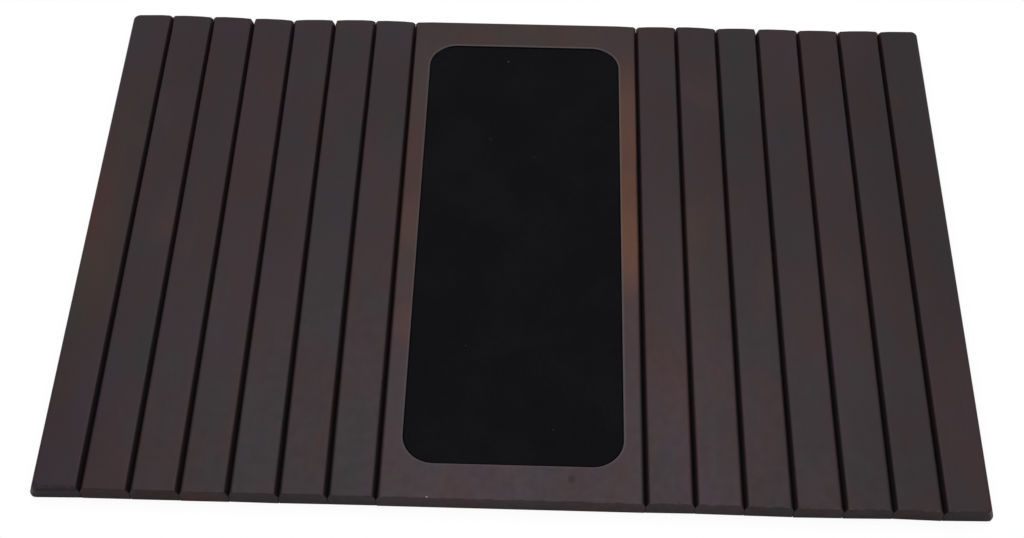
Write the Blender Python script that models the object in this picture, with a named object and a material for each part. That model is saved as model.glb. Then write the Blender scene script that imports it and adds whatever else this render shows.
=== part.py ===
"""Flexible slatted tray that lies over the arm of a sofa.

A wide centre board with a thin mat let into its top lies between two flaps of narrow
slats. Every board is glued to a black backing cloth, and the cloth is the hinge at each
gap, so the flaps bend down over the arm and the tray rolls up for storage.

The tray is modelled flat, in metres: +X runs across the slats, +Y to the rear along
them and +Z up. The origin is on the cloth's lower face, under the centre board's middle.
"""

import math

import bmesh
import bpy

# Boards
BOARD_LENGTH = 0.300
CENTRE_WIDTH = 0.1227
SLAT_WIDTH = 0.0223
END_SLAT_WIDTH = 0.0237
SLATS_PER_FLAP = 7
WOOD_THICKNESS = 0.0090
CORNER_RADIUS = 0.0028
BOARD_GAP = 0.0003

# Long top edges at the gaps: how far they slope down, how far out, and the round at the top
EDGE_DROP = 0.0033
EDGE_LEAN = 0.0015
EDGE_ROUND = 0.00125

# The same for the tray's two outer sides, which slope nearly all the way down
OUTER_DROP = 0.0075
OUTER_LEAN = 0.0023
OUTER_ROUND = 0.0015

# Backing cloth
CLOTH_THICKNESS = 0.0008
CLOTH_MARGIN = 0.0010
GLUE_LINE = 0.0003

# Mat, and the pocket that holds it
SIDE_RIM = 0.00975
END_RIM = 0.0180
POCKET_RADIUS = 0.0150
MAT_THICKNESS = 0.0012
MAT_CLEARANCE = 0.0003
MAT_RECESS = 0.0005

# Heights that follow from the sizes above
WOOD_BOTTOM = CLOTH_THICKNESS + GLUE_LINE
WOOD_TOP = WOOD_BOTTOM + WOOD_THICKNESS
MAT_TOP = WOOD_TOP - MAT_RECESS
MAT_BOTTOM = MAT_TOP - MAT_THICKNESS
POCKET_FLOOR = MAT_BOTTOM - MAT_CLEARANCE

# Facets of a quarter turn
EDGE_FACETS = 6
CORNER_FACETS = 6
POCKET_FACETS = 12

# How far a cutter stands past the wood, and how far its straight sides stay off it
CUTTER_OVERSHOOT = 0.0020
CUTTER_CLEARANCE = 0.00002

# Names of the two flaps, and the way each runs along X
FLAPS = {"left": -1, "right": 1}


def clear_scene():
    """Removes every object that the new file starts with."""
    for old in list(bpy.data.objects):
        bpy.data.objects.remove(old, do_unlink=True)


def finish(name, colour, roughness):
    """A plain non-metal surface of one colour."""
    material = bpy.data.materials.new(name)
    material.use_nodes = True
    surface = material.node_tree.nodes["Principled BSDF"]
    surface.inputs["Base Color"].default_value = (*colour, 1.0)
    surface.inputs["Roughness"].default_value = roughness
    surface.inputs["Metallic"].default_value = 0.0
    material.diffuse_color = (*colour, 1.0)
    return material


def rounded_outline(width, length, radius, facets):
    """Points of a rectangle with arcs at its corners, centred on the origin, turning left."""
    points = []
    for corner in range(4):
        start = corner * math.pi / 2
        across = math.copysign(width / 2 - radius, math.cos(start + math.pi / 4))
        along = math.copysign(length / 2 - radius, math.sin(start + math.pi / 4))
        for step in range(facets + 1):
            angle = start + step * math.pi / 2 / facets
            x = across + radius * math.cos(angle)
            y = along + radius * math.sin(angle)
            points.append((x, y))
    return points


def extruded_mesh(name, outline, travel):
    """A closed mesh swept from one flat outline of 3-D points along a straight travel."""
    shape = bmesh.new()
    face = shape.faces.new([shape.verts.new(point) for point in outline])
    swept = bmesh.ops.extrude_face_region(shape, geom=[face], use_keep_orig=True)
    moved = [part for part in swept["geom"] if isinstance(part, bmesh.types.BMVert)]
    bmesh.ops.translate(shape, verts=moved, vec=travel)
    bmesh.ops.recalc_face_normals(shape, faces=shape.faces)
    mesh = bpy.data.meshes.new(name)
    shape.to_mesh(mesh)
    shape.free()
    return mesh


def long_edge(width, drop, lean, radius):
    """Section points of a board's right side: upright, then sloping, then rounded level.

    The round touches both the slope and the top, so its centre lies one radius below the
    top and one radius inside the slope.
    """
    tilt = math.atan2(lean, drop)
    centre_x = width / 2 - lean - radius * (1 - math.sin(tilt)) / math.cos(tilt)
    centre_z = WOOD_THICKNESS - radius
    points = [(width / 2, 0.0), (width / 2, WOOD_THICKNESS - drop)]
    for step in range(EDGE_FACETS + 1):
        angle = tilt + step * (math.pi / 2 - tilt) / EDGE_FACETS
        points.append((centre_x + radius * math.cos(angle), centre_z + radius * math.sin(angle)))
    return points


def board_mesh(name, width, outer=0):
    """A board with square ends, standing on z = 0, with any outer side on the left or right."""
    inner_edge = long_edge(width, EDGE_DROP, EDGE_LEAN, EDGE_ROUND)
    outer_edge = long_edge(width, OUTER_DROP, OUTER_LEAN, OUTER_ROUND)
    right = outer_edge if outer > 0 else inner_edge
    left = outer_edge if outer < 0 else inner_edge
    profile = right + [(-x, z) for x, z in reversed(left)]
    section = [(x, -BOARD_LENGTH / 2, z) for x, z in profile]
    mesh = extruded_mesh(name, section, (0, BOARD_LENGTH, 0))
    mesh.shade_smooth()
    mesh.set_sharp_from_angle(angle=math.radians(20))
    return mesh


def sheet_mesh(name, outline, thickness):
    """A flat sheet of the given plan outline, lying on z = 0."""
    return extruded_mesh(name, [(x, y, 0.0) for x, y in outline], (0, 0, thickness))


def cloth_mesh(name, width):
    """A square-cut strip of the backing cloth, which stops short of the boards' ends."""
    x = width / 2
    y = BOARD_LENGTH / 2 - CLOTH_MARGIN
    return sheet_mesh(name, [(-x, -y), (x, -y), (x, y), (-x, y)], CLOTH_THICKNESS)


def place(name, mesh, location, material=None, parent=None):
    """Puts a mesh into the scene under its own name."""
    piece = bpy.data.objects.new(name, mesh)
    bpy.context.scene.collection.objects.link(piece)
    piece.parent = parent
    piece.location = location
    if material and not mesh.materials:
        mesh.materials.append(material)
    return piece


def add_cutter(name, outline, low, high):
    """An upright prism that only shapes other pieces, and isn't one itself."""
    cutter = place(name, sheet_mesh(name, outline, high - low), (0, 0, low))
    cutter.display_type = "WIRE"
    cutter.hide_render = True
    return cutter


def shape_with(piece, cutter, operation):
    """Shapes a piece with a cutter, by DIFFERENCE or INTERSECT."""
    cut = piece.modifiers.new(cutter.name, "BOOLEAN")
    cut.operation = operation
    cut.solver = "EXACT"
    cut.object = cutter


def pocket_outline(inset):
    """Outline inside the centre board's rim, drawn in by an even inset."""
    width = CENTRE_WIDTH - 2 * (SIDE_RIM + inset)
    length = BOARD_LENGTH - 2 * (END_RIM + inset)
    return rounded_outline(width, length, POCKET_RADIUS - inset, POCKET_FACETS)


def add_centre_board(wood):
    """The wide board, with the mat's pocket cut into its top."""
    board = place("centre_board", board_mesh("centre_board", CENTRE_WIDTH), (0, 0, WOOD_BOTTOM), wood)
    top = WOOD_TOP + CUTTER_OVERSHOOT
    cutter = add_cutter("pocket_cutter", pocket_outline(0.0), POCKET_FLOOR, top)
    shape_with(board, cutter, "DIFFERENCE")


def add_centre_mat(foam):
    """The mat, which lies in the pocket just below the rim."""
    mesh = sheet_mesh("centre_mat", pocket_outline(MAT_CLEARANCE), MAT_THICKNESS)
    place("centre_mat", mesh, (0, 0, MAT_BOTTOM), foam)


def add_outline_cutter():
    """The whole tray's plan with its round outer corners, to which the end slats are trimmed."""
    flap_width = (SLATS_PER_FLAP - 1) * SLAT_WIDTH + END_SLAT_WIDTH + SLATS_PER_FLAP * BOARD_GAP
    width = CENTRE_WIDTH + 2 * (flap_width + CUTTER_CLEARANCE)
    length = BOARD_LENGTH + 2 * CUTTER_CLEARANCE
    outline = rounded_outline(width, length, CORNER_RADIUS + CUTTER_CLEARANCE, CORNER_FACETS)
    low = WOOD_BOTTOM - CUTTER_OVERSHOOT
    return add_cutter("outline_cutter", outline, low, WOOD_TOP + CUTTER_OVERSHOOT)


def add_flap(flap, direction, wood, cloth, outline):
    """A chain of slats, each under an empty on the hinge line that it turns about."""
    slat = board_mesh("slat_" + flap, SLAT_WIDTH)
    strip = cloth_mesh("backing_" + flap, SLAT_WIDTH)
    hinge = None
    step = CENTRE_WIDTH / 2 + BOARD_GAP / 2
    for number in range(1, SLATS_PER_FLAP + 1):
        hinge = place(f"hinge_{flap}_{number}", None, (direction * step, 0, 0), parent=hinge)
        step = BOARD_GAP + SLAT_WIDTH
        slat_width = strip_width = SLAT_WIDTH
        if number == SLATS_PER_FLAP:
            slat_width = END_SLAT_WIDTH
            strip_width = END_SLAT_WIDTH - CLOTH_MARGIN
            slat = board_mesh("end_slat_" + flap, slat_width, direction)
            strip = cloth_mesh("end_backing_" + flap, strip_width)
        slat_x = direction * (BOARD_GAP + slat_width) / 2
        strip_x = direction * (BOARD_GAP + strip_width) / 2
        piece = place(f"slat_{flap}_{number}", slat, (slat_x, 0, WOOD_BOTTOM), wood, hinge)
        place(f"backing_{flap}_{number}", strip, (strip_x, 0, 0), cloth, hinge)
    shape_with(piece, outline, "INTERSECT")


def main():
    clear_scene()
    centre_wood = finish("centre_board_wood", (0.052, 0.037, 0.036), 0.40)
    slat_wood = finish("slat_wood", (0.046, 0.034, 0.035), 0.42)
    foam = finish("mat_foam", (0.0070, 0.0068, 0.0078), 0.85)
    cloth = finish("backing_cloth", (0.012, 0.012, 0.013), 0.95)
    add_centre_board(centre_wood)
    add_centre_mat(foam)
    place("backing_centre", cloth_mesh("backing_centre", CENTRE_WIDTH), (0, 0, 0), cloth)
    outline = add_outline_cutter()
    for flap, direction in FLAPS.items():
        add_flap(flap, direction, slat_wood, cloth, outline)


main()
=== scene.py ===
"""Visual model of a slatted tray that lies flat over the arm of a sofa.

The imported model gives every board's place. Each board, the mat and the backing cloth are
made here again as finer surfaces, worked out with numpy in the same frame: metres, +X
across the slats, +Y to the rear along them and +Z up, with the tray lying on z = 0.
"""

import bpy
import numpy as np
from bpy.props import FloatProperty, FloatVectorProperty, PointerProperty
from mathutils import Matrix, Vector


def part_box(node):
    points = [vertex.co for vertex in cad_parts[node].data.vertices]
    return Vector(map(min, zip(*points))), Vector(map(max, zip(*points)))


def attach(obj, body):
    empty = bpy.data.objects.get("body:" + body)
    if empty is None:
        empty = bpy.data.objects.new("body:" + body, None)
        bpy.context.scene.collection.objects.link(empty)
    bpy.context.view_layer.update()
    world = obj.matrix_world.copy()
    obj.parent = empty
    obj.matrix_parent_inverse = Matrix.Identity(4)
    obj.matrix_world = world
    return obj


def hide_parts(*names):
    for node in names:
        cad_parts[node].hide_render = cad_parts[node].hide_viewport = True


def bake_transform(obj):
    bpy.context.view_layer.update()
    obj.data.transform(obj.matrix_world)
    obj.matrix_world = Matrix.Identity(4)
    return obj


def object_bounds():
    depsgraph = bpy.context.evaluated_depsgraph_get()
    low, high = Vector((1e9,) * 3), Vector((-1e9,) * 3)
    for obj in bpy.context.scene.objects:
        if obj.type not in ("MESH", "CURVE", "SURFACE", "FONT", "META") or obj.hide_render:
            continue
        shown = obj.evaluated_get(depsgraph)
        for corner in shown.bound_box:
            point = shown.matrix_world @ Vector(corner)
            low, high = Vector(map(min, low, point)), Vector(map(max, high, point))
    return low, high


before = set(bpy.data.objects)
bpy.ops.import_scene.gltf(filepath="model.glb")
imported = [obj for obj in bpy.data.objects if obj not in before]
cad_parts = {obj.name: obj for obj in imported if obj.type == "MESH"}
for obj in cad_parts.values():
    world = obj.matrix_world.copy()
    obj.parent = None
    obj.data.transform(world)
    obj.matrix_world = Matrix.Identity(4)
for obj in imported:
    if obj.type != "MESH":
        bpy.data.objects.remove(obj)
CAD_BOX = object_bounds()

bl_info = {
    "name": "Slatted Armrest Tray",
    "version": (1, 0, 0),
    "blender": (4, 5, 0),
    "location": "3D View > Sidebar > Tray",
    "description": "Makes a slatted sofa armrest tray, its finishes and its studio",
    "category": "Object",
}

MM = 0.001
FLAPS = {"left": -1, "right": 1}
SLATS_PER_FLAP = 7

# Facets of the rounded long edges, of the eased edges and of the corners seen from above
ROUND_FACETS = 12
FOOT_FACETS = 3
EASE_FACETS = 4
SLAT_CORNER_FACETS = 6
POCKET_CORNER_FACETS = 20

# Edges that turn by more than this stay sharp
SHARP_ANGLE = np.radians(38)

# Straight lengths of an outline are cut into this many, at the ends and along the sides
SLAT_CUTS = (4, 60)
CENTRE_CUTS = (16, 60)

# Radius with which a board's side turns into the slope of its long edge
FOOT_ROUND = 1.0 * MM

# How far beside an edge a loop of points holds the flat face flat
HOLD = 0.12 * MM

# How far inside the edge of its flat top a slat's last loop lies
TOP_MARGIN = 2.0 * MM

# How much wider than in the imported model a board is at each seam
SEAM_CLOSE = 0.05 * MM

# Measured unevenness in mm, from the left to the right. Each seam, and the outer side at
# either end, strays this far to the right at its front, middle and rear.
SEAM_DRIFT = (
    (-0.37, -0.37, -0.09),
    (-0.20, -0.34, -0.35),
    (0.00, -0.06, -0.08),
    (0.18, 0.06, -0.12),
    (0.24, 0.16, 0.08),
    (0.45, -0.06, 0.34),
    (0.38, -0.10, 0.60),
    (-0.08, 0.08, 0.45),
    (0.15, 0.27, 0.60),
    (0.08, 0.10, 0.18),
    (-0.05, -0.06, 0.00),
    (-0.12, -0.38, 0.10),
    (0.05, -0.26, 0.22),
    (-0.04, 0.00, 0.05),
    (0.22, 0.08, 0.12),
    (0.08, -0.04, -0.39),
)
# Each board's front end strays this far to the rear at its left and right, and so does
# its rear end.
END_DRIFT = (
    (-0.19, 0.23, 0.00, 0.75),
    (0.11, 0.10, 0.59, -0.01),
    (0.03, 0.06, 0.39, -0.41),
    (-0.06, -0.03, -0.20, -1.05),
    (0.10, -0.09, -0.85, -0.02),
    (-0.01, 0.11, -0.12, 0.32),
    (0.10, 0.15, 0.23, -0.31),
    (-0.02, -0.08, -0.30, -0.12),
    (0.01, 0.18, -0.34, 0.18),
    (0.13, -0.08, 0.70, -0.20),
    (-0.13, -0.30, -0.07, 0.61),
    (-0.42, -0.16, 0.41, 0.09),
    (-0.27, 0.14, -0.02, 0.04),
    (0.23, -0.24, 0.03, 0.77),
    (-0.16, 0.22, 0.40, 0.95),
)
# The sides' drift fades out this far inside a board, and the ends' this far.
SIDE_FADE = 8 * MM
END_FADE = 15 * MM
# The seams' slopes grow narrower to the rear, by this much at the rear end. They are this
# wide at the front.
SLOPE_TAPER = 0.50 * MM
SLOPE_WIDTH = 2.3 * MM
# The rear end of each seam dips this many mm to the front, and fades out this far beside it.
SEAM_DIP = 0.55
SEAM_DIP_REACH = 3.3 * MM
# Over this last stretch of a seam its slopes lose this share of their height. The seams with
# these numbers, counted from the left outer side as 0, keep theirs.
RUN_OUT = 10 * MM
RUN_OUT_SHARE = 0.66
OPEN_SEAMS = (3, 5, 11)
# The pocket and the mat lie this far, in mm, to the right and to the rear of their place.
POCKET_DRIFT = (0.36, 0.31)
# The mat stays this far, in mm, inside its place at its left and front, and right and rear.
MAT_SHORT = ((0.1, 0.2), (0.1, 0.3))

# Seed of the random numbers that pick each board's own clouds, and the numbers' range. The
# thin patches' clouds are picked by a number this much above the tone's.
CLOUD_SEED = 8
CLOUD_RANGE = 150.0
THIN_STEP = 7.3

# Width of the line on the rim, beside the pocket, that is painted lighter as a highlight. It
# is painted by the first share, give or take the second at the right and left and the third at
# rear and front.
GLINT_WIDTH = 0.9 * MM
GLINT_SHARES = (0.65, 0.20, 0.35)

# Radius of the mat's soft top edge
MAT_SOFT = 0.35 * MM

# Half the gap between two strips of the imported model's cloth, half the width that bends at a
# hinge, and how far inside the centre board's sides the middle strip ends
HALF_GAP = 0.15 * MM
BEND = 0.55 * MM
STRIP_INSET = 6 * MM

# Points across the middle strip, a bend and a flat stretch, and rows along a strip
MIDDLE_POINTS = 13
BEND_POINTS = 9
FLAT_POINTS = 4
STRIP_ROWS = 25

WEAVE_PITCH = 1.1 * MM

# Width of the band along the tray's outer sides where no shade or highlight is painted and no
# edge is rubbed, and of the step to it
OUTER_SIDE = 3.6 * MM
OUTER_STEP = 0.6 * MM

# Depth at which the seams' slopes are painted dark as shade, at the front and the rear end,
# and depths between which the pocket's wall is painted dark as shade, within these limits
# across and along
SLOPE_DEPTHS = (1.5 * MM, 2.7 * MM)
WALL_DEPTHS = (0.06 * MM, 0.24 * MM)
POCKET_LIMITS = {"X": 57 * MM, "Y": 140 * MM}

RIM_LIGHTNESS = 1.60
SLAT_LIGHTNESS = 1.0

# Where the wood's finish differs: centre and reach in metres, and strength. Thin patches
# show warm brown, sheen shades paint a broad part darker or lighter in place of the
# lacquer's uneven sheen, and tints shift the colour of a broad part or of a small mark.
RIM_MARKS = {
    "thin": (
        ((0.0570, 0.012), (0.012, 0.058), 1.0),
        ((0.0570, 0.060), (0.012, 0.085), 0.62),
        ((-0.0550, -0.053), (0.008, 0.016), 0.25),
        ((-0.0550, 0.008), (0.008, 0.024), 0.20),
    ),
    # Painted sheen: the rim's rear painted lighter
    "sheen_shades": (((0.0, 0.160), (0.110, 0.060), 1.12),),
    "tints": (
        ((0.0276, -0.1384), (0.0023, 0.0029), (0.45, 0.08, 0.16)),
        ((-0.0382, -0.1494), (0.0006, 0.0005), (9.0, 14.0, 12.0)),
        ((0.0, 0.060), (0.120, 0.170), (1.0, 1.0, 0.68)),
        ((0.0, -0.160), (0.120, 0.110), (0.88, 1.0, 1.0)),
    ),
}
SLAT_MARKS = {
    "thin": (),
    # Painted sheen: broad parts of the slats painted lighter or darker
    "sheen_shades": (
        ((0.084, -0.150), (0.046, 0.260), 1.45),
        ((0.205, 0.060), (0.055, 0.300), 0.72),
        ((-0.212, -0.170), (0.050, 0.150), 0.59),
        ((-0.212, 0.020), (0.018, 0.110), 1.28),
        ((0.185, -0.165), (0.060, 0.120), 0.72),
        ((0.125, 0.080), (0.045, 0.110), 0.84),
    ),
    "tints": (
        ((0.0769, -0.1496, 0.0100), (0.0009, 0.0012, 0.0010), (0.01, 0.01, 0.01)),
        ((-0.209, 0.010), (0.014, 0.120), (1.08, 1.0, 0.62)),
        ((-0.198, -0.125), (0.036, 0.050), (1.15, 1.0, 1.22)),
        ((0.084, -0.020), (0.030, 0.110), (1.0, 1.0, 0.88)),
        ((0.209, -0.075), (0.016, 0.080), (1.18, 0.96, 1.04)),
        ((-0.1632, -0.1500), (0.0135, 0.0010), (0.83, 0.35, 0.38)),
        ((-0.1406, -0.1500), (0.0135, 0.0010), (1.80, 1.35, 1.25)),
    ),
}

# Specks of lint on the mat: their reach, and each one's place in mm and brightness
LINT_REACH = (0.5 * MM, 0.3 * MM)
LINT = (
    (-8.4, 121.5, 0.14),
    (-16.4, 65.5, 0.05),
    (7.1, 53.8, 0.05),
    (-24.0, -66.0, 0.04),
    (19.0, -112.0, 0.04),
)

# Studio, with the camera's sensor and lens in mm
FLOOR_RINGS = (0.4, 1.2, 3.0, 8.0)
FLOOR_POINTS = 64
FLOOR_DEPTH = 0.05 * MM
SHADOW_REACH = 15 * MM
LAMP_SIZE = 1.1
LAMP_PLACE = (0.0, 0.22, 1.15)
LAMP_TILT = np.radians(-9.0)
CAMERA_SENSOR = 36.0
CAMERA_LENS = 59.430
CAMERA_ANGLES = np.radians((36.1447, 0.6244, 1.4114))
CAMERA_PLACE = (0.006463, -0.518368, 0.692561)


# Settings that a user would change


def size(name, description, default, low, high):
    """A length, with its default and its limits given in mm."""
    return FloatProperty(
        name=name,
        description=description,
        default=default * MM,
        min=low * MM,
        max=high * MM,
        unit="LENGTH",
    )


def paint(name, description, default):
    """A colour, from 0 to 1 in each of red, green and blue."""
    return FloatVectorProperty(
        name=name, description=description, default=default, min=0.0, max=1.0, subtype="COLOR"
    )


class TrayShape(bpy.types.PropertyGroup):
    """Sizes of the boards and of the mat's pocket"""

    edge_drop: size(
        "Edge drop", "Height of the long top edges' slope at the seams", 3.3, 1.0, 6.0
    )
    edge_lean: size("Edge lean", "How far that slope leans in", 1.5, 0.2, 6.0)
    edge_round: size(
        "Edge round", "Radius with which the long edges turn into the flat top", 1.25, 0.2, 4.0
    )
    outer_drop: size(
        "Outer drop", "Height of the slope of the tray's two outer sides", 7.5, 1.0, 8.5
    )
    outer_lean: size("Outer lean", "How far the outer sides lean in", 2.3, 0.2, 8.0)
    outer_round: size(
        "Outer round", "Radius with which the outer sides turn into the flat top", 1.5, 0.2, 4.0
    )
    ease: size(
        "Ease", "Radius that takes the sharpness off the wood's other edges", 0.3, 0.05, 0.6
    )
    front_ease: size(
        "Front ease", "Radius of the top edge at the boards' front ends", 0.6, 0.05, 2.0
    )
    upright_ease: size(
        "Upright ease", "Radius of the boards' upright edges beside a seam", 0.15, 0.02, 0.6
    )
    rear_round: size(
        "Rear round", "Radius of the boards' top corners at the rear end of a seam", 0.4, 0.02, 2.0
    )
    corner_round: size(
        "Corner round", "Radius of the tray's four corners, seen from above", 2.8, 0.5, 8.0
    )
    soft_end: size(
        "Soft end", "Radius of the front top edge of the slat at the far left", 2.2, 0.05, 3.0
    )
    pocket_clearance: size(
        "Pocket clearance", "Gap between the mat and its pocket, sides and floor", 0.34, 0.05, 1.0
    )
    pocket_edge: size(
        "Pocket edge", "Radius of the edge between the rim and the pocket's wall", 0.2, 0.05, 1.0
    )
    pocket_round: size(
        "Pocket round", "Radius of the corners of the mat's pocket", 15.0, 2.0, 40.0
    )


class TrayColours(bpy.types.PropertyGroup):
    """Colours of the wood, the mat and the cloth"""

    wood_dark: paint(
        "Dark stain", "Cool dark brown where the stain lies thickest", (0.0155, 0.0112, 0.0140)
    )
    wood_red: paint(
        "Red stain",
        "Red brown where the wood shows through the stain",
        (0.0240, 0.0080, 0.0098),
    )
    wood_violet: paint(
        "Violet stain", "Violet brown that clouds the stain", (0.0205, 0.0095, 0.0150)
    )
    # Painted shade: near black painted into the seams' slopes and the pocket's wall, where shade
    # falls
    wood_painted_shade: paint(
        "Painted seam shade",
        "Near black of the seams and the pocket, where the stain pooled",
        (0.0032, 0.0022, 0.0024),
    )
    wood_brown: paint(
        "Thin stain",
        "Warm brown of the patches where the stain lies thinnest",
        (0.0545, 0.0200, 0.0145),
    )
    # Bare wood of rubbed edges, also used as a painted highlight on the ends' eased edges and
    # along the pocket's edge
    wood_worn_and_glint: paint(
        "Rubbed edge and glint", "Bare wood where an edge is rubbed through", (0.0850, 0.0800, 0.0840)
    )
    mat: paint("Mat", "Black foam of the mat", (0.0045, 0.0044, 0.0054))
    cloth: paint("Cloth", "Black thread of the backing cloth", (0.0080, 0.0080, 0.0090))


class TrayStudio(bpy.types.PropertyGroup):
    """Light and floor of the studio"""

    sky: FloatProperty(
        name="Sky",
        description="Brightness of the plain surroundings that light the tray from all sides",
        default=0.55,
        min=0.0,
        max=2.0,
    )
    lamp: FloatProperty(
        name="Lamp",
        description="Power of the wide lamp over the tray",
        default=7.0,
        min=0.0,
        max=200.0,
        unit="POWER",
    )
    floor: paint("Floor", "Colour of the floor", (0.85, 0.85, 0.85))


# Surfaces


def stacked_outlines(low, high, radii, facets, cuts):
    """Outlines of rectangles with quarter ellipses at their corners, one for each row.

    low and high are (k, 2) corners, and radii is (k, 4, 2): the x and y radius at the
    right rear, left rear, left front and right front corner. A corner's points are its
    centre plus (x radius times cos a, y radius times sin a), with a going through a
    quarter turn in equal steps. Between two corners the points divide the straight side
    evenly. The result is (k, n, 2) and turns left.
    """
    right_rear = high
    left_rear = np.stack((low[:, 0], high[:, 1]), axis=1)
    left_front = low
    right_front = np.stack((high[:, 0], low[:, 1]), axis=1)
    corner = np.stack((right_rear, left_rear, left_front, right_front), axis=1)
    inward = np.array(((-1, -1), (1, -1), (1, 1), (-1, 1)))
    centre = corner + inward * radii
    angle = np.linspace(0.0, np.pi / 2, facets + 1) + np.arange(4)[:, None] * np.pi / 2
    spoke = np.stack((np.cos(angle), np.sin(angle)), axis=-1)
    arcs = centre[:, :, None] + radii[:, :, None] * spoke
    parts = []
    for side in range(4):
        start = arcs[:, side, -1:]
        end = arcs[:, (side + 1) % 4, :1]
        share = (np.arange(1, cuts[side % 2]) / cuts[side % 2])[:, None]
        parts.append(arcs[:, side])
        parts.append(start + share * (end - start))
    return np.concatenate(parts, axis=1)


def with_heights(outlines, heights):
    """Gives each row of flat outlines its height, as a (k, n, 3) array."""
    tall = np.broadcast_to(heights[:, None, None], (*outlines.shape[:2], 1))
    return np.concatenate((outlines, tall), axis=2)


def ring_quads(rows, count):
    """Numbers of the points of a stack of loops, and the quads between them.

    Point i of row j is joined to points i + 1 of row j and i of row j + 1, so the rows
    and columns are the surface's two parameters.
    """
    index = np.arange(rows * count).reshape(rows, count)
    after = np.roll(index, -1, axis=1)
    quads = np.stack((index[:-1], after[:-1], after[1:], index[1:]), axis=-1)
    return index, quads.reshape(-1, 4)


def closed_skin(name, loops):
    """A closed mesh through a (k, n, 3) stack of loops, with its first and last loop filled."""
    index, quads = ring_quads(*loops.shape[:2])
    faces = [*quads.tolist(), index[0, ::-1].tolist(), index[-1].tolist()]
    mesh = bpy.data.meshes.new(name)
    mesh.from_pydata(loops.reshape(-1, 3), [], faces)
    mesh.shade_smooth()
    mesh.set_sharp_from_angle(angle=SHARP_ANGLE)
    mesh.update()
    return mesh


def fade(distance, reach):
    """Falls evenly from 1 at no distance to 0 at the reach."""
    return np.clip(1 - distance / reach, 0.0, 1.0)


def rounded_edge(radius, facets):
    """Inset and drop below the top of a rounded edge, from its foot up.

    At angle a the inset is radius times (1 - cos a) and the drop is radius times
    (1 - sin a), with a going from 0 at the foot to a quarter turn at the top.
    """
    angle = np.linspace(0.0, np.pi / 2, facets + 1)
    return radius * (1 - np.cos(angle)), radius * (1 - np.sin(angle))


def long_edge(drop, lean, radius):
    """Inset and drop below the top of a long edge, from its foot up.

    The side turns on a small arc into a straight slope, and the top's arc turns the slope
    level. Both arcs touch the slope, so at angle a from upright the upper arc's inset is
    its centre's less radius times cos a, and its drop is radius times (1 - sin a).
    """
    tilt = np.arctan2(lean, drop)
    foot = np.linspace(0.0, tilt, FOOT_FACETS + 1)
    foot_inset = FOOT_ROUND * (1 - np.cos(foot))
    foot_drop = drop + FOOT_ROUND * (np.tan(tilt / 2) - np.sin(foot))
    top = np.linspace(tilt, np.pi / 2, ROUND_FACETS + 1)
    centre_inset = lean + radius * (1 - np.sin(tilt)) / np.cos(tilt)
    inset = np.concatenate((foot_inset, centre_inset - radius * np.cos(top)))
    return inset, np.concatenate((foot_drop, radius * (1 - np.sin(top))))


def eased_inset(drop, ease):
    """Inset of an eased edge at each drop below the top, from the circle of that radius."""
    return ease * (1 - np.sqrt(1 - fade(drop, ease) ** 2))


def board_skin(box, edges, ends, corners, shape, facets, cuts):
    """A board's underside, sides and top edges, as a stack of loops from below.

    Each loop is the board's horizontal slice at one height: a rectangle drawn in by the
    inset that each edge has there, with quarter circles at its corners. edges holds the
    left and right long edge, ends the front and rear edge's radius, and corners each
    corner's radius at the top. Below the long edges a corner has its radius at the foot.
    """
    low, high = box
    (left_inset, left_drop), (right_inset, right_drop) = edges
    top = high[2]
    height = top - low[2]
    upper = np.unique(np.concatenate((left_drop, right_drop)).round(9))[::-1]
    lower_inset, lower_drop = rounded_edge(shape.ease, EASE_FACETS)
    lower = height - lower_drop[::-1]
    drop = np.concatenate(((height, height), lower, (upper[0] + HOLD,), upper, (0.0,)))
    under = np.concatenate(((2 * HOLD, HOLD), lower_inset[::-1], np.zeros(len(upper) + 2)))
    under[:2] += shape.ease
    under[-1] = HOLD
    left = under + np.interp(drop, left_drop[::-1], left_inset[::-1])
    right = under + np.interp(drop, right_drop[::-1], right_inset[::-1])
    front, rear = (under + eased_inset(drop, radius) for radius in ends)
    foot_radius, top_radius = np.array(corners).T
    share = fade(drop, shape.edge_drop)[:, None]
    radius = foot_radius + share * (top_radius - foot_radius)
    radii = np.repeat(radius[:, :, None], 2, axis=2)
    plan_low = np.stack((low[0] + left, low[1] + front), axis=1)
    plan_high = np.stack((high[0] - right, high[1] - rear), axis=1)
    outlines = stacked_outlines(plan_low, plan_high, radii, facets, cuts)
    return with_heights(outlines, top - drop)


def slat_loops(box, edges, ends, corners, shape):
    """A slat: the board's skin, closed over its flat top by one more loop."""
    skin = board_skin(box, edges, ends, corners, shape, SLAT_CORNER_FACETS, SLAT_CUTS)
    middle = (skin[-1].min(axis=0) + skin[-1].max(axis=0)) / 2
    reach = np.array((TOP_MARGIN, TOP_MARGIN, 0.0))
    span = (skin[-1].max(axis=0) - skin[-1].min(axis=0)) / 2
    share = np.where(span > reach, (span - reach) / np.maximum(span, MM), 1.0)
    inner = middle + (skin[-1] - middle) * share
    return np.concatenate((skin, inner[None]))


def end_line(place, across):
    """How far in mm a board's front and rear end stray to the rear, at a share across it."""
    front_left, front_right, rear_left, rear_right = END_DRIFT[place]
    front = (1 - across) * front_left + across * front_right
    return front, (1 - across) * rear_left + across * rear_right


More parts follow.
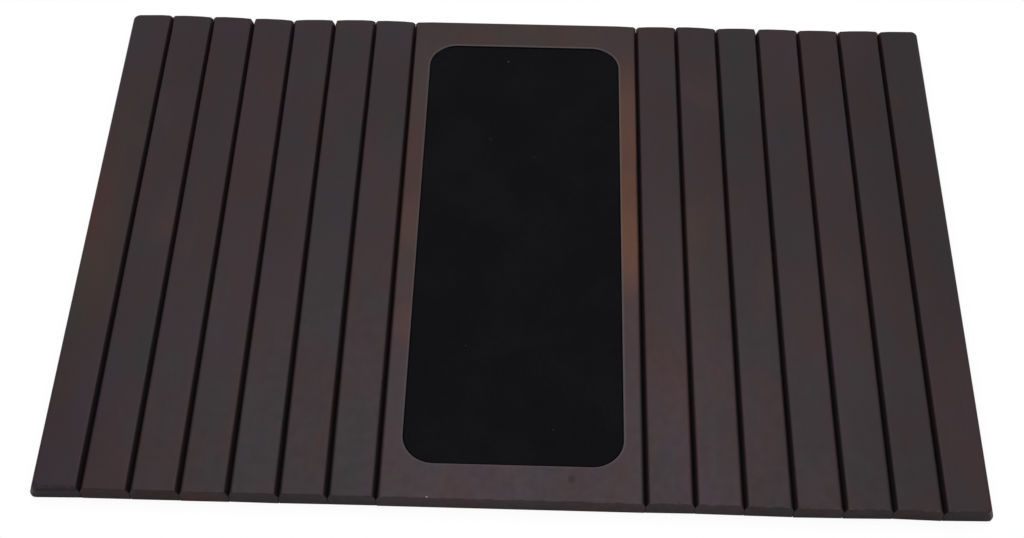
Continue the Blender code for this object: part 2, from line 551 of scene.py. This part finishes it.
def run_out(loops, box, place, across, foot):
    """Draws the slopes of a board's seams up towards the top over their last stretch.

    foot is how far below the top the slopes start. The heights above it shrink towards
    the top by a share that grows in a smooth step along the board, and the heights below
    it stretch to fill the rest.
    """
    low, high = box
    left, right = (
        RUN_OUT_SHARE if 0 < seam < len(SEAM_DRIFT) - 1 and seam not in OPEN_SEAMS else 0.0
        for seam in (place, place + 1)
    )
    step = fade(high[1] - loops[..., 1], RUN_OUT)
    share = ((1 - across) * left + across * right) * step * step * (3 - 2 * step)
    drop = high[2] - loops[..., 2]
    height = high[2] - low[2]
    new_foot = foot * (1 - share)
    below = new_foot + (drop - foot) * (height - new_foot) / (height - foot)
    return high[2] - np.where(drop < foot, drop * (1 - share), below)


def settle(loops, box, place, foot):
    """Moves a board's margins by the small drift of its two seams and its two ends.

    place is the board's place from the left. A seam's drift along the board is the curve
    of second order through its front, middle and rear value, and each drift falls evenly
    to nothing inside the board. At the rear end of each seam the board's end dips by a
    bell curve of the distance to the seam. The top of each seam's slope moves towards the
    seam by a share that grows evenly to the rear, and falls to nothing either side of it.
    """
    low, high = box
    x, y = loops[..., 0], loops[..., 1]
    across = (x - low[0]) / (high[0] - low[0])
    along = (y - low[1]) / (high[1] - low[1])
    bow = np.stack(
        ((1 - along) * (1 - 2 * along), 4 * along * (1 - along), along * (2 * along - 1)), axis=-1
    )
    left, right = (bow @ np.array(SEAM_DRIFT[place + side]) for side in (0, 1))
    front, rear = end_line(place, across)
    narrower = np.zeros_like(along)
    for seam, edge, way in ((place, low[0], -1), (place + 1, high[0], 1)):
        if 0 < seam < len(SEAM_DRIFT) - 1:
            inset = np.abs(x - edge)
            rear = rear - SEAM_DIP * np.exp(-((inset / SEAM_DIP_REACH) ** 2))
            rise = np.interp(inset, (0.0, SLOPE_WIDTH, SIDE_FADE), (0.0, 1.0, 0.0))
            narrower += way * SLOPE_TAPER * along * rise
    near_left, near_right = fade(x - low[0], SIDE_FADE), fade(high[0] - x, SIDE_FADE)
    near_front, near_rear = fade(y - low[1], END_FADE), fade(high[1] - y, END_FADE)
    moved = loops.copy()
    moved[..., 0] += (near_left * left + near_right * right) * MM + narrower
    moved[..., 1] += (near_front * front + near_rear * rear) * MM
    moved[..., 2] = run_out(loops, box, place, across, foot)
    return moved


def pocket_outline(mat_box, outset, shape):
    """Outlines round the mat's true place, each an even distance outside it."""
    outset = np.asarray(outset)
    drift = np.array(POCKET_DRIFT) * MM
    radius = shape.pocket_round - shape.pocket_clearance + outset
    radii = np.broadcast_to(radius[:, None, None], (len(outset), 4, 2))
    low = np.array(mat_box[0][:2]) + drift - outset[:, None]
    high = np.array(mat_box[1][:2]) + drift + outset[:, None]
    return stacked_outlines(low, high, radii, POCKET_CORNER_FACETS, CENTRE_CUTS)


def centre_loops(box, mat_box, edges, ends, corners, shape):
    """The centre board: its skin, its flat rim, the pocket's eased edge, wall and floor.

    Over the rim the loops change evenly from the board's outline to the pocket's, point
    by point. The pocket's edge is a quarter circle like the other eased edges, and the
    wall goes straight down from it. The second result is how strongly a highlight is painted
    on each point: most on the pocket's edge, falling to nothing the highlight line's width
    outside it.
    """
    skin = board_skin(box, edges, ends, corners, shape, POCKET_CORNER_FACETS, CENTRE_CUTS)
    top = box[1][2]
    gap = shape.pocket_clearance
    floor = mat_box[0][2] - gap
    edge = shape.pocket_edge
    inset, drop = rounded_edge(edge, EASE_FACETS)
    edge_outset = gap + inset[::-1]
    edge_height = top - drop[::-1]
    outside = gap + edge + np.array((GLINT_WIDTH, GLINT_WIDTH / 2, HOLD))
    outset = np.concatenate((outside, edge_outset, (gap, gap, gap - HOLD, -MM)))
    height = np.concatenate(
        ((top, top, top), edge_height, (top - edge - HOLD, floor, floor, floor))
    )
    pocket = with_heights(pocket_outline(mat_box, outset, shape), height)
    share = np.array((0.25, 0.5, 0.75))[:, None, None]
    rim = skin[-1] + share * (pocket[0] - skin[-1])
    loops = np.concatenate((skin, rim, pocket))
    glint_line = np.zeros(len(loops))
    glint_line[len(skin) + len(rim) + 1 :] = 1.0
    glint_line[-4:] = 0.0
    return loops, glint_line[:, None] * glint_share(loops, mat_box[1])


def glint_share(loops, mat_high):
    """How strongly a highlight is painted on each side of the pocket's edge: the rear most, the
    front least.

    With u and v the point's place in half widths and half lengths of the mat, the powers
    u^8 and v^8 tell the left and right sides from the front and rear.
    """
    u = loops[..., 0] / mat_high[0]
    v = loops[..., 1] / mat_high[1]
    sideways = u**8 / (u**8 + v**8 + 1e-9)
    mean, right, rear = GLINT_SHARES
    return mean + right * np.sign(u) * sideways + rear * np.sign(v) * (1 - sideways)


def mat_loops(mat_box, shape):
    """The mat: a flat sheet of foam with round corners and softly rounded top edges."""
    inset, drop = rounded_edge(MAT_SOFT, EASE_FACETS + 2)
    flat = (-MAT_SOFT - HOLD, -MAT_SOFT - MM)
    outset = np.concatenate(((-MM, 0.0, 0.0), -inset[1:], flat))
    bottom, top = (corner[2] for corner in mat_box)
    height = np.concatenate(((bottom, bottom, top - MAT_SOFT), top - drop[1:], (top, top)))
    return with_heights(pocket_outline(mat_box, outset, shape), height)


def cloth_loops(x_places, y_low, y_high, thickness):
    """A strip of cloth: a flat band whose points across are given, carried along Y.

    The band goes left to right over its top and back underneath.
    """
    across = np.concatenate((x_places, x_places[::-1]))
    height = np.repeat((thickness, 0.0), len(x_places))
    band = np.stack((across, np.zeros_like(across), height), axis=1)
    along = np.linspace(y_low, y_high, STRIP_ROWS)
    return band[None] + along[:, None, None] * np.array((0.0, 1.0, 0.0))


# Materials


def node(tree, kind, inputs=None, **settings):
    """Adds a shader node. An input that is a socket is linked, and any other is set."""
    made = tree.nodes.new("ShaderNode" + kind)
    for name, value in settings.items():
        setattr(made, name, value)
    for key, value in (inputs or {}).items():
        if isinstance(value, bpy.types.NodeSocket):
            tree.links.new(value, made.inputs[key])
        else:
            made.inputs[key].default_value = value
    return made


def calculate(tree, operation, first, second=0.0):
    """One sum, product or other step on one or two numbers."""
    return node(tree, "Math", {0: first, 1: second}, operation=operation).outputs[0]


def product(tree, first, *others):
    """The first value times all the others."""
    for other in others:
        first = calculate(tree, "MULTIPLY", first, other)
    return first


def roughen(tree, surface, height, strength, distance):
    """Lets the height tilt the surface's light, as if it rose and fell by the distance."""
    bump = node(tree, "Bump", {"Height": height, "Strength": strength, "Distance": distance})
    tree.links.new(bump.outputs[0], surface.inputs["Normal"])


def blend_colours(tree, share, first, second, way="MIX"):
    """Two colours put together by a share from 0 to 1."""
    inputs = {0: share, 6: first, 7: second}
    return node(tree, "Mix", inputs, data_type="RGBA", blend_type=way).outputs[2]


def ramp(tree, value, start, end, low=0.0, high=1.0):
    """Goes smoothly from low to high as the value goes from start to end."""
    inputs = {0: value, 1: start, 2: end, 3: low, 4: high}
    return node(tree, "MapRange", inputs, interpolation_type="SMOOTHSTEP").outputs[0]


def stretched(tree, place, scale):
    """The place, with each direction scaled."""
    return node(tree, "Mapping", {"Vector": place, "Scale": scale}).outputs[0]


def noise(tree, place, scale, detail=2.0, roughness=0.5, seed=0.0):
    """Cloudy noise from 0 to 1, with its own pattern for each seed."""
    inputs = {"Vector": place, "W": seed, "Scale": scale, "Detail": detail, "Roughness": roughness}
    return node(tree, "TexNoise", inputs, noise_dimensions="4D").outputs[0]


def patch(tree, place, centre, reach, edge=0.0):
    """A soft oval patch: 1 at its centre, and 0 beyond its reach.

    centre and reach are along X and Y, and along Z too for a patch that isn't full height.
    """
    level = (0.0,) * (3 - len(reach))
    scale = (*(1 / far for far in reach), *level)
    offset = (*(-middle / far for middle, far in zip(centre, reach)), *level)
    moved = node(tree, "Mapping", {"Vector": place, "Scale": scale, "Location": offset})
    distance = node(tree, "VectorMath", {0: moved.outputs[0]}, operation="LENGTH")
    return ramp(tree, distance.outputs["Value"], 1.0, edge)


def new_material(name, roughness, specular):
    """An empty material with its surface node, and constants set on the node itself."""
    material = bpy.data.materials.new(name)
    material.use_nodes = True
    tree = material.node_tree
    surface = tree.nodes["Principled BSDF"]
    surface.inputs["Roughness"].default_value = roughness
    surface.inputs["Specular IOR Level"].default_value = specular
    surface.inputs["Metallic"].default_value = 0.0
    return material, tree, surface


def rgba(colour):
    """A colour property with full opacity."""
    return (*colour, 1.0)


def end_masks(tree, normal):
    """How far a surface faces along the board, and a mask of the ends' eased edges.

    On an eased edge the surface faces partly along the board and partly across or up, so
    the product of its share along, squared, and one less that square is above 0 there.
    """
    parts = node(tree, "SeparateXYZ", {0: normal})
    along = product(tree, parts.outputs["Y"], parts.outputs["Y"])
    both = product(tree, along, calculate(tree, "SUBTRACT", 1.0, along))
    return along, ramp(tree, both, 0.04, 0.22)


def outer_mask(tree, place):
    """1 over the tray, and 0 on its two outer sides and their corners."""
    across = node(tree, "SeparateXYZ", {0: place}).outputs["X"]
    outer = CAD_BOX[1][0] - OUTER_SIDE
    return ramp(tree, calculate(tree, "ABSOLUTE", across), outer + OUTER_STEP, outer)


def sunk_mask(tree, place, along):
    """Masks of all the surfaces that lie below the flat top, and of the pocket's alone.

    The first, where the recesses are painted near black as shade, sets in slowly down the
    seams' slopes, over a depth that grows to the rear, and at once down the pocket's wall. The
    boards' ends, which face along, are left out, and so are the tray's outer sides.
    """
    parts = node(tree, "SeparateXYZ", {0: place})
    top = CAD_BOX[1][2]
    sideways = calculate(tree, "SUBTRACT", 1.0, along)
    front, rear = (corner[1] for corner in CAD_BOX)
    reach = ramp(tree, parts.outputs["Y"], front, rear, *SLOPE_DEPTHS)
    depth = calculate(tree, "SUBTRACT", top, parts.outputs["Z"])
    slope = ramp(tree, calculate(tree, "DIVIDE", depth, reach), 0.4, 1.0)
    slope = product(tree, slope, sideways)
    wall = ramp(tree, depth, *WALL_DEPTHS)
    for axis, limit in POCKET_LIMITS.items():
        far = calculate(tree, "ABSOLUTE", parts.outputs[axis])
        wall = product(tree, wall, ramp(tree, far, limit, limit - MM))
    sunk = calculate(tree, "MAXIMUM", slope, wall)
    return product(tree, sunk, outer_mask(tree, place)), wall


def stain(tree, place, patterns, colours, marks):
    """The stain's colour: cloudy between a cool dark, a red brown and a violet brown.

    Thin patches show warm brown, at random and at the marks, which are listed as centre,
    reach and strength. patterns are the sockets that pick each board's own clouds.
    """
    red, violet, tone = patterns
    streaks = noise(tree, stretched(tree, place, (0.7, 0.30, 1.0)), 60.0, 4.0, 0.62, red)
    colour = blend_colours(
        tree, ramp(tree, streaks, 0.36, 0.64), rgba(colours.wood_dark), rgba(colours.wood_red)
    )
    tint = noise(tree, stretched(tree, place, (0.8, 0.50, 1.0)), 60.0, 3.0, 0.6, violet)
    cool = ramp(tree, tint, 0.44, 0.64, 0.0, 0.75)
    colour = blend_colours(tree, cool, colour, rgba(colours.wood_violet))
    seed = calculate(tree, "ADD", tone, THIN_STEP)
    clouds = noise(tree, stretched(tree, place, (1.0, 0.45, 1.0)), 40.0, 3.0, 0.55, seed)
    thin = ramp(tree, clouds, 0.56, 0.78, 0.0, 0.35)
    for centre, reach, strength in marks:
        mark = patch(tree, place, centre, reach, 0.4)
        broken = product(tree, mark, ramp(tree, clouds, 0.30, 0.60, 0.8, 1.0), strength)
        thin = calculate(tree, "MAXIMUM", thin, broken)
    return blend_colours(tree, thin, colour, rgba(colours.wood_brown))


def marked(tree, place, colour, marks):
    """The colour with the marks' painted sheen shades and tints over it."""
    # Painted sheen: each shade paints a broad part darker or lighter
    for centre, reach, strength in marks["sheen_shades"]:
        part = ramp(tree, patch(tree, place, centre, reach), 0.0, 1.0, 1.0, strength)
        colour = blend_colours(tree, 1.0, colour, part, "MULTIPLY")
    for centre, reach, tint in marks["tints"]:
        part = patch(tree, place, centre, reach, 0.4)
        colour = blend_colours(tree, part, colour, rgba(tint), "MULTIPLY")
    return colour


def wear_and_glint(tree, place, edge, seed):
    """How far the edges are painted lighter: the eased ends here and there, more to the right.

    edge is the mask of those ends, whose light line is partly rubbed wear and partly a painted
    highlight. The pocket's edge gets a painted highlight as far as the mesh says.
    """
    patchiness = noise(tree, stretched(tree, place, (1.0, 1.0, 0.3)), 260.0, 2.0, 0.6, seed)
    across = node(tree, "SeparateXYZ", {0: place}).outputs["X"]
    rightward = ramp(tree, across, -200 * MM, 70 * MM, 0.30, 1.0)
    worn_and_glint = product(tree, edge, ramp(tree, patchiness, 0.42, 0.62, 0.1, 0.6), rightward)
    worn_and_glint = product(tree, worn_and_glint, outer_mask(tree, place))
    line = node(tree, "Attribute", attribute_name="glint_line").outputs["Fac"]
    return calculate(tree, "MAXIMUM", worn_and_glint, product(tree, line, 0.55))


def grain_and_pores(tree, place, seed):
    """Fine grain that runs along Y, from 0 to 1, and a mask of the pores between it."""
    grain = noise(tree, stretched(tree, place, (1.0, 0.022, 1.0)), 900.0, 3.0, 0.6, seed)
    pores = noise(tree, stretched(tree, place, (1.0, 0.06, 1.0)), 1500.0, 1.0, 0.5, seed)
    return grain, ramp(tree, pores, 0.66, 0.76)


def wood_material(name, colours, lightness, marks):
    """Dark stained wood under a satin lacquer.

    Fine grain runs along Y, and the ends show end grain. The seams' slopes and the pocket are
    painted near black as shade. Eased edges are painted lighter here and there, partly as rubbed
    wear and partly as a painted highlight. Each board reads its own numbers from the mesh, so
    that no streak runs on over the next board. marks lists thin patches, painted sheen and tints.
    """
    material, tree, surface = new_material(name, 0.42, 0.19)
    coordinates = node(tree, "TexCoord")
    place = coordinates.outputs["Object"]
    numbers = node(tree, "Attribute", attribute_name="patterns").outputs["Vector"]
    patterns = node(tree, "SeparateXYZ", {0: numbers}).outputs[:3]
    board = patterns[0]
    along, edge = end_masks(tree, coordinates.outputs["Normal"])
    end_grain = ramp(tree, along, 0.60, 0.92)
    colour = stain(tree, place, patterns, colours, marks["thin"])

    grain, pore = grain_and_pores(tree, place, board)
    shade = ramp(tree, grain, 0.30, 0.70, 0.95 * lightness, 1.05 * lightness)
    tone = noise(tree, place, 12.0, 2.0, 0.5, patterns[2])
    rings = noise(tree, stretched(tree, place, (1.0, 0.05, 2.6)), 700.0, 3.0, 0.6, board)
    end_shade = ramp(tree, rings, 0.25, 0.75, 0.72, 1.02)
    mixed = node(tree, "Mix", {0: end_grain, 2: 1.0, 3: end_shade}, data_type="FLOAT")
    shade = product(
        tree,
        shade,
        ramp(tree, pore, 0.0, 1.0, 1.0, 0.80),
        ramp(tree, tone, 0.30, 0.70, 0.86, 1.14),
        mixed.outputs[0],
    )
    colour = blend_colours(tree, 1.0, colour, shade, "MULTIPLY")
    colour = marked(tree, place, colour, marks)

    # Painted shade: the seams' slopes and the pocket's wall are painted near black, where shade
    # falls
    sunk, wall = sunk_mask(tree, place, along)
    painted_shade = product(tree, sunk, 0.97)
    colour = blend_colours(tree, painted_shade, colour, rgba(colours.wood_painted_shade))
    # Rubbed wear and painted highlight on the ends' eased edges, and a painted highlight along the
    # pocket's edge
    worn_and_glint = wear_and_glint(tree, place, edge, board)
    colour = blend_colours(tree, worn_and_glint, colour, rgba(colours.wood_worn_and_glint))
    tree.links.new(colour, surface.inputs["Base Color"])

    lacquer = noise(tree, place, 220.0, 2.0, 0.5, board)
    roughness = ramp(tree, lacquer, 0.25, 0.75, 0.37, 0.47)
    for mask, amount in ((end_grain, 0.12), (sunk, 0.32), (wall, 0.36)):
        roughness = calculate(tree, "ADD", roughness, product(tree, mask, amount))
    tree.links.new(roughness, surface.inputs["Roughness"])

    height = calculate(tree, "SUBTRACT", grain, product(tree, pore, 0.7))
    height = calculate(tree, "ADD", height, product(tree, lacquer, 1.5))
    roughen(tree, surface, height, 0.35, 0.02 * MM)
    return material


def mat_material(colours):
    """Matt black foam with a fine pebbled skin and a few specks of lint."""
    material, tree, surface = new_material("mat_foam", 0.9, 0.04)
    place = node(tree, "TexCoord").outputs["Object"]
    cells = node(tree, "TexVoronoi", {"Vector": place, "Scale": 1500.0})
    pebbles = ramp(tree, cells.outputs["Distance"], 0.1, 0.7)
    mottle = noise(tree, place, 30.0, 3.0, 0.6)
    fine = noise(tree, place, 1200.0, 2.0, 0.6)
    shade = ramp(tree, mottle, 0.35, 0.70, 0.85, 1.35)
    shade = product(tree, shade, ramp(tree, fine, 0.3, 0.7, 0.85, 1.15))
    colour = blend_colours(tree, 1.0, rgba(colours.mat), shade, "MULTIPLY")
    for across, along, light in LINT:
        speck = patch(tree, place, (across * MM, along * MM), LINT_REACH, 0.4)
        colour = blend_colours(tree, speck, colour, (light, light, light, 1.0))
    tree.links.new(colour, surface.inputs["Base Color"])
    tree.links.new(ramp(tree, mottle, 0.3, 0.7, 0.84, 0.94), surface.inputs["Roughness"])
    height = calculate(tree, "ADD", pebbles, product(tree, fine, 0.6))
    roughen(tree, surface, height, 0.6, 0.05 * MM)
    return material


def cloth_material(colours):
    """Black plain weave: threads across and along, over and under each other in turn."""
    material, tree, surface = new_material("backing_cloth", 0.95, 0.15)
    place = node(tree, "TexCoord").outputs["Object"]
    turns = 2 * np.pi / WEAVE_PITCH
    parts = node(tree, "SeparateXYZ", {0: place})
    waves = []
    for axis in ("X", "Y"):
        waves.append(calculate(tree, "SINE", product(tree, parts.outputs[axis], turns)))
    weave = product(tree, *waves)
    threads = ramp(tree, weave, -1.0, 1.0)
    fuzz = noise(tree, place, 900.0, 3.0, 0.7)
    faded = noise(tree, place, 18.0, 2.0, 0.5)
    shade = product(
        tree,
        ramp(tree, threads, 0.0, 1.0, 0.70, 1.20),
        ramp(tree, fuzz, 0.3, 0.7, 0.8, 1.25),
        ramp(tree, faded, 0.3, 0.7, 0.9, 1.15),
    )
    colour = blend_colours(tree, 1.0, rgba(colours.cloth), shade, "MULTIPLY")
    tree.links.new(colour, surface.inputs["Base Color"])
    surface.inputs["Sheen Weight"].default_value = 0.15
    surface.inputs["Sheen Roughness"].default_value = 0.5
    height = calculate(tree, "ADD", threads, product(tree, fuzz, 0.5))
    roughen(tree, surface, height, 0.8, 0.12 * MM)
    return material


# Pieces


def board_box(name):
    """A board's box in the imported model, widened a little at each seam."""
    low, high = (list(corner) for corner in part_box(name))
    outer = max(abs(CAD_BOX[0][0]), abs(CAD_BOX[1][0])) - MM
    if abs(low[0]) < outer:
        low[0] -= SEAM_CLOSE
    if abs(high[0]) < outer:
        high[0] += SEAM_CLOSE
    return low, high


def seam_edges(shape):
    """A seam's long edge, and its rear and front corners' radii at the foot and the top."""
    edge = long_edge(shape.edge_drop, shape.edge_lean, shape.edge_round)
    return edge, (shape.upright_ease, shape.rear_round), (shape.upright_ease, shape.ease)


def add_object(name, data):
    """A new object with this data, linked to the scene."""
    made = bpy.data.objects.new(name, data)
    bpy.context.scene.collection.objects.link(made)
    return made


def add_piece(name, mesh, material):
    """Adds a finished mesh as a piece, with its material and slot."""
    piece = add_object(name, mesh)
    mesh.materials.append(material)
    return piece


def add_board(name, loops, box, place, foot, material):
    """Adds a board made from its loops, settled into its place from the left.

    Every point gets the board's own three random numbers, by which the material picks its
    clouds of red, of violet and of tone.
    """
    mesh = closed_skin(name, settle(loops, box, place, foot))
    drawn = np.random.default_rng((CLOUD_SEED, place)).uniform(0.0, CLOUD_RANGE, 3)
    numbers = np.tile(drawn.astype(np.float32), len(mesh.vertices))
    mesh.attributes.new("patterns", "FLOAT_VECTOR", "POINT").data.foreach_set("vector", numbers)
    return add_piece(name, mesh, material)


class TRAY_OT_centre_board(bpy.types.Operator):
    """Make the wide centre board with the mat's pocket in its top"""

    bl_idname = "tray.centre_board"
    bl_label = "Centre Board"

    def execute(self, context):
        shape = context.scene.tray_shape
        box = board_box("centre_board")
        edge, rear, front = seam_edges(shape)
        corners = (rear, rear, front, front)
        ends = (shape.front_ease, shape.ease)
        mat_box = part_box("centre_mat")
        loops, glint_line = centre_loops(box, mat_box, (edge, edge), ends, corners, shape)
        slot = "centre_board_wood"
        wood = wood_material(slot, context.scene.tray_colours, RIM_LIGHTNESS, RIM_MARKS)
        foot = shape.edge_drop
        board = add_board("board_centre", loops, box, SLATS_PER_FLAP, foot, wood)
        # How strongly a highlight is painted along the pocket's edge, at each point
        line = board.data.attributes.new("glint_line", "FLOAT", "POINT")
        line.data.foreach_set("value", glint_line.ravel().astype(np.float32))
        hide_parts("centre_board")
        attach(board, "centre")
        return {"FINISHED"}


class TRAY_OT_centre_mat(bpy.types.Operator):
    """Make the thin foam mat that lies in the centre board's pocket"""

    bl_idname = "tray.centre_mat"
    bl_label = "Mat"

    def execute(self, context):
        low, high = (np.array(corner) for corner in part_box("centre_mat"))
        low[:2] += np.array(MAT_SHORT[0]) * MM
        high[:2] -= np.array(MAT_SHORT[1]) * MM
        mesh = closed_skin("mat_centre", mat_loops((low, high), context.scene.tray_shape))
        foam = mat_material(context.scene.tray_colours)
        mat = add_piece("mat_centre", mesh, foam)
        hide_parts("centre_mat")
        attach(mat, "centre")
        return {"FINISHED"}


class TRAY_OT_slats(bpy.types.Operator):
    """Make the narrow slats of both flaps"""

    bl_idname = "tray.slats"
    bl_label = "Slats"

    def execute(self, context):
        shape = context.scene.tray_shape
        colours = context.scene.tray_colours
        wood = wood_material("slat_wood", colours, SLAT_LIGHTNESS, SLAT_MARKS)
        inner_edge, rear, front = seam_edges(shape)
        outer_edge = long_edge(shape.outer_drop, shape.outer_lean, shape.outer_round)
        outer = (shape.corner_round, shape.corner_round)
        for flap, direction in FLAPS.items():
            for number in range(1, SLATS_PER_FLAP + 1):
                box = board_box(f"slat_{flap}_{number}")
                last = number == SLATS_PER_FLAP
                outer_side = (outer_edge, outer, outer) if last else (inner_edge, rear, front)
                sides = [(inner_edge, rear, front), outer_side][::direction]
                (left, left_rear, left_front), (right, right_rear, right_front) = sides
                corners = (right_rear, left_rear, left_front, right_front)
                soft = last and flap == "left"
                ends = (shape.soft_end if soft else shape.front_ease, shape.ease)
                loops = slat_loops(box, (left, right), ends, corners, shape)
                place = SLATS_PER_FLAP + direction * number
                name = f"board_{flap}_{number}"
                foot = shape.edge_drop
                slat = add_board(name, loops, box, place, foot, wood)
                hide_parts(f"slat_{flap}_{number}")
                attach(slat, f"{flap}_{number}")
        return {"FINISHED"}


class TRAY_OT_backing(bpy.types.Operator):
    """Make the backing cloth that joins the boards, with finer points at every gap"""

    bl_idname = "tray.backing"
    bl_label = "Backing Cloth"

    def execute(self, context):
        cloth = cloth_material(context.scene.tray_colours)
        low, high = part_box("backing_centre")
        seam = high[0] - STRIP_INSET
        x_places = np.linspace(-seam, seam, MIDDLE_POINTS)
        self.add_strip("cloth_centre", x_places, low, high, cloth, "backing_centre", "centre")
        for flap, direction in FLAPS.items():
            inner, inner_body = seam, "centre"
            for number in range(1, SLATS_PER_FLAP + 1):
                low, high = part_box(f"backing_{flap}_{number}")
                near, far = sorted((abs(low[0]), abs(high[0])))
                outer = far if number == SLATS_PER_FLAP else (near + far) / 2
                hinge = near - HALF_GAP
                bend = hinge + np.linspace(-BEND, BEND, BEND_POINTS)
                flat_in = np.linspace(inner, bend[0], FLAT_POINTS)[:-1]
                flat_out = np.linspace(bend[-1], outer, FLAT_POINTS)[1:]
                x_places = direction * np.concatenate((flat_in, bend, flat_out))
                x_places = np.sort(x_places)
                name = f"cloth_{flap}_{number}"
                node_name = f"backing_{flap}_{number}"
                bodies = (inner_body, f"{flap}_{number}")
                strip = self.add_strip(name, x_places, low, high, cloth, node_name)
                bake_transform(strip)
                inner, inner_body = outer, bodies[1]
        return {"FINISHED"}

    def add_strip(self, name, x_places, low, high, material, node_name, body=None):
        """Adds one strip of the cloth, which rides on a body if one is given."""
        mesh = closed_skin(name, cloth_loops(x_places, low[1], high[1], high[2] - low[2]))
        strip = add_piece(name, mesh, material)
        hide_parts(node_name)
        if body:
            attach(strip, body)
        return strip


# Studio


def empty_tree(holder):
    """The node tree of a material or a world, with nothing in it."""
    holder.use_nodes = True
    holder.node_tree.nodes.clear()
    return holder.node_tree


def mix_shaders(tree, share, first, second):
    """Two shaders put together by a share from 0 to 1."""
    return node(tree, "MixShader", {0: share, 1: first, 2: second}).outputs[0]


def add_floor(colour):
    """A wide round floor just under the tray: its points are radius times (cos a, sin a).

    The camera sees through it to the white surroundings, which it tints with the tray's
    contact shadow, and light from below passes it, so a flap that hangs below it is lit
    and shows. Seen from above it is plain and pale to all else.
    """
    radius = np.array(FLOOR_RINGS)[:, None]
    angle = np.linspace(0.0, 2 * np.pi, FLOOR_POINTS, endpoint=False)
    x_places = radius * np.cos(angle)
    y_places = radius * np.sin(angle)
    points = np.stack((x_places, y_places, np.full_like(x_places, -FLOOR_DEPTH)), axis=-1)
    index, quads = ring_quads(len(FLOOR_RINGS), FLOOR_POINTS)
    mesh = bpy.data.meshes.new("floor")
    mesh.from_pydata(points.reshape(-1, 3), [], [*quads[:, ::-1].tolist(), index[0].tolist()])
    floor = add_object("floor", mesh)
    material = bpy.data.materials.new("floor")
    tree = empty_tree(material)
    plain = node(tree, "BsdfDiffuse", {"Color": rgba(colour)}).outputs[0]
    nearby = node(tree, "AmbientOcclusion", {"Distance": SHADOW_REACH}, samples=16)
    shadow = ramp(tree, nearby.outputs["AO"], 0.45, 0.90, 0.955, 1.0)
    shown = node(tree, "BsdfTransparent", {"Color": shadow}).outputs[0]
    clear = node(tree, "BsdfTransparent").outputs[0]
    seen = node(tree, "LightPath").outputs["Is Camera Ray"]
    above = mix_shaders(tree, seen, plain, shown)
    below = node(tree, "NewGeometry").outputs["Backfacing"]
    node(tree, "OutputMaterial", {"Surface": mix_shaders(tree, below, above, clear)})
    mesh.materials.append(material)


def add_sky(brightness):
    """Plain surroundings: white to the camera and in reflections, softer as a light."""
    world = bpy.data.worlds.new("studio")
    bpy.context.scene.world = world
    tree = empty_tree(world)
    light, white = (
        node(tree, "Background", {"Color": (1, 1, 1, 1), "Strength": strength}).outputs[0]
        for strength in (brightness, 1.0)
    )
    path = node(tree, "LightPath")
    seen = path.outputs["Is Camera Ray"]
    for kind in ("Is Glossy Ray", "Is Transmission Ray"):
        seen = calculate(tree, "MAXIMUM", seen, path.outputs[kind])
    node(tree, "OutputWorld", {"Surface": mix_shaders(tree, seen, light, white)})


def add_lamp(power):
    """One wide soft lamp high over the tray, a little to the rear."""
    data = bpy.data.lights.new("lamp", "AREA")
    data.shape = "DISK"
    data.size = LAMP_SIZE
    data.energy = power
    lamp = add_object("lamp", data)
    lamp.location = LAMP_PLACE
    lamp.rotation_euler = (LAMP_TILT, 0.0, 0.0)


def add_camera():
    """The camera stands in front of the tray and looks down on it."""
    data = bpy.data.cameras.new("camera")
    data.sensor_width = CAMERA_SENSOR
    data.lens = CAMERA_LENS
    data.clip_start = 0.01
    camera = add_object("camera", data)
    camera.rotation_mode = "ZYX"
    camera.rotation_euler = CAMERA_ANGLES
    camera.location = CAMERA_PLACE
    bpy.context.scene.camera = camera


class TRAY_OT_stage(bpy.types.Operator):
    """Make the floor, the light and the camera"""

    bl_idname = "tray.stage"
    bl_label = "Studio"

    def execute(self, context):
        studio = context.scene.tray_studio
        add_floor(studio.floor)
        add_sky(studio.sky)
        add_lamp(studio.lamp)
        add_camera()
        context.scene.view_settings.view_transform = "Standard"
        return {"FINISHED"}


class TRAY_PT_panel(bpy.types.Panel):
    """Lists the tray's pieces and its settings"""

    bl_label = "Slatted Armrest Tray"
    bl_idname = "TRAY_PT_panel"
    bl_space_type = "VIEW_3D"
    bl_region_type = "UI"
    bl_category = "Tray"

    def draw(self, context):
        layout = self.layout
        for operator in OPERATORS:
            layout.operator(operator.bl_idname)
        for name in SETTINGS:
            box = layout.box()
            box.label(text=name.replace("_", " ").capitalize())
            group = getattr(context.scene, name)
            for key in group.__annotations__:
                box.prop(group, key)


OPERATORS = (
    TRAY_OT_centre_board,
    TRAY_OT_centre_mat,
    TRAY_OT_slats,
    TRAY_OT_backing,
    TRAY_OT_stage,
)
SETTINGS = {"tray_shape": TrayShape, "tray_colours": TrayColours, "tray_studio": TrayStudio}


def register():
    for cls in (*SETTINGS.values(), *OPERATORS, TRAY_PT_panel):
        bpy.utils.register_class(cls)
    for name, group in SETTINGS.items():
        setattr(bpy.types.Scene, name, PointerProperty(type=group))


def unregister():
    for name in SETTINGS:
        delattr(bpy.types.Scene, name)
    for cls in reversed((*SETTINGS.values(), *OPERATORS, TRAY_PT_panel)):
        bpy.utils.unregister_class(cls)


def main():
    register()
    bpy.ops.tray.centre_board()
    bpy.ops.tray.centre_mat()
    bpy.ops.tray.slats()
    bpy.ops.tray.backing()
    bpy.ops.tray.stage()


if __name__ == "__main__":
    main()
